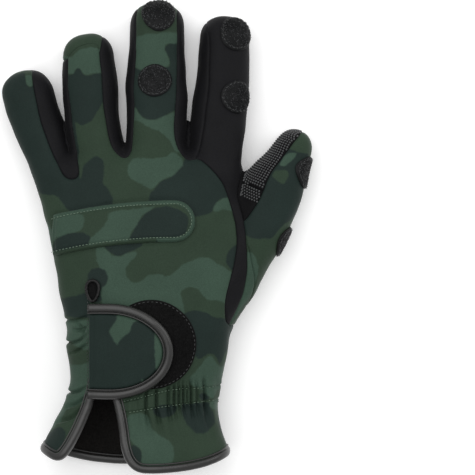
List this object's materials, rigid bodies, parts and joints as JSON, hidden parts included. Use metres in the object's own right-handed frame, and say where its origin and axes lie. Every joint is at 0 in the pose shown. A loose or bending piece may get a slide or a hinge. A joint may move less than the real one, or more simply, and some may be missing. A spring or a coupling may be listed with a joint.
{
  "type": "fishing glove",
  "caption": "Left-hand winter fishing glove with fold-back fingertips, dotted grip patches, a slit cuff, a padded knuckle strip and a D-shaped wrist strap on a loop pad.",
  "frame": {"origin": "on the flat underside, below the middle of the palm", "axes": "+X towards the thumb, +Y towards the fingertips, +Z out of the back of the hand"},
  "size_m": [0.1672, 0.2502, 0.0461],
  "materials": {
    "camo_fabric": "smooth knitted face on foam, woodland camouflage in three dark greens, satin sheen",
    "black_neoprene": "matt black knitted face on foam",
    "grip_mesh": "black cloth printed with small raised grey rubber dots",
    "binding": "soft satin black binding, rolled over the edge",
    "loop_fabric": "black brushed loop fastening, matt",
    "hook_fabric": "black hook and loop dots, fuzzy, sewn round the edge"
  },
  "bodies": {
    "root": {"back_panel": "camo_fabric", "thumb_back": "camo_fabric", "thumb_gusset": "camo_fabric", "knuckle_strip": "camo_fabric", "strap": "camo_fabric", "palm_panel": "black_neoprene", "index_back": "black_neoprene", "fourchette_pinky_ring": "black_neoprene", "fourchette_ring_middle": "black_neoprene", "fourchette_middle_index": "black_neoprene", "index_tip_palm": "black_neoprene", "middle_tip_palm": "black_neoprene", "thumb_grip": "grip_mesh", "thumb_tip_grip": "grip_mesh", "side_grip": "grip_mesh", "strap_binding": "binding", "cuff_binding": "binding", "pull_loop": "binding", "loop_pad": "loop_fabric", "dot_middle_tip": "hook_fabric", "dot_middle_mid": "hook_fabric", "dot_index_tip": "hook_fabric", "dot_index_mid": "hook_fabric", "dot_thumb_tip": "hook_fabric", "dot_thumb_mid": "hook_fabric"}
  },
  "joints": []
}
